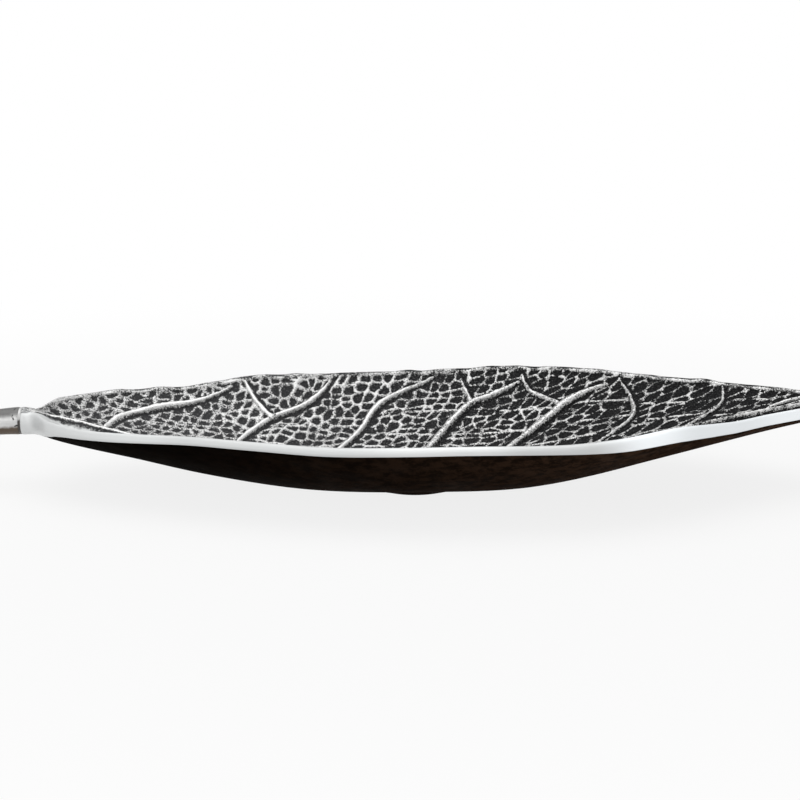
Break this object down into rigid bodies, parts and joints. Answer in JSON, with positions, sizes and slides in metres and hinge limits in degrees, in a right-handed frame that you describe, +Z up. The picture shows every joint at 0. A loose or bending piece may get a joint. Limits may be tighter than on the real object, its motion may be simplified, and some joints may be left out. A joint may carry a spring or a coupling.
{
  "type": "decorative tray",
  "caption": "Leaf-shaped cast aluminium tray with a hollow veined blade, a rounded rim, a short drooping stem and a low felt-covered foot.",
  "frame": {"origin": "on the table, under the middle of the tray's length and width", "axes": "+X from the stem towards the leaf's tip, +Y across the leaf towards its wavy margin, +Z up"},
  "size_m": [0.4438, 0.1704, 0.0422],
  "materials": {
    "cast_metal": "cast, antiqued dark in the recesses and polished on the ridges and rim",
    "stem_metal": "cast and polished",
    "pin_steel": "drawn bright",
    "filler": "dull, unpolished braze",
    "felt": "pressed felt"
  },
  "bodies": {
    "root": {"leaf_dish": "cast_metal", "stem": "stem_metal", "stem_dowel": "pin_steel", "braze_seam": "filler", "felt_pad": "felt"}
  },
  "joints": []
}
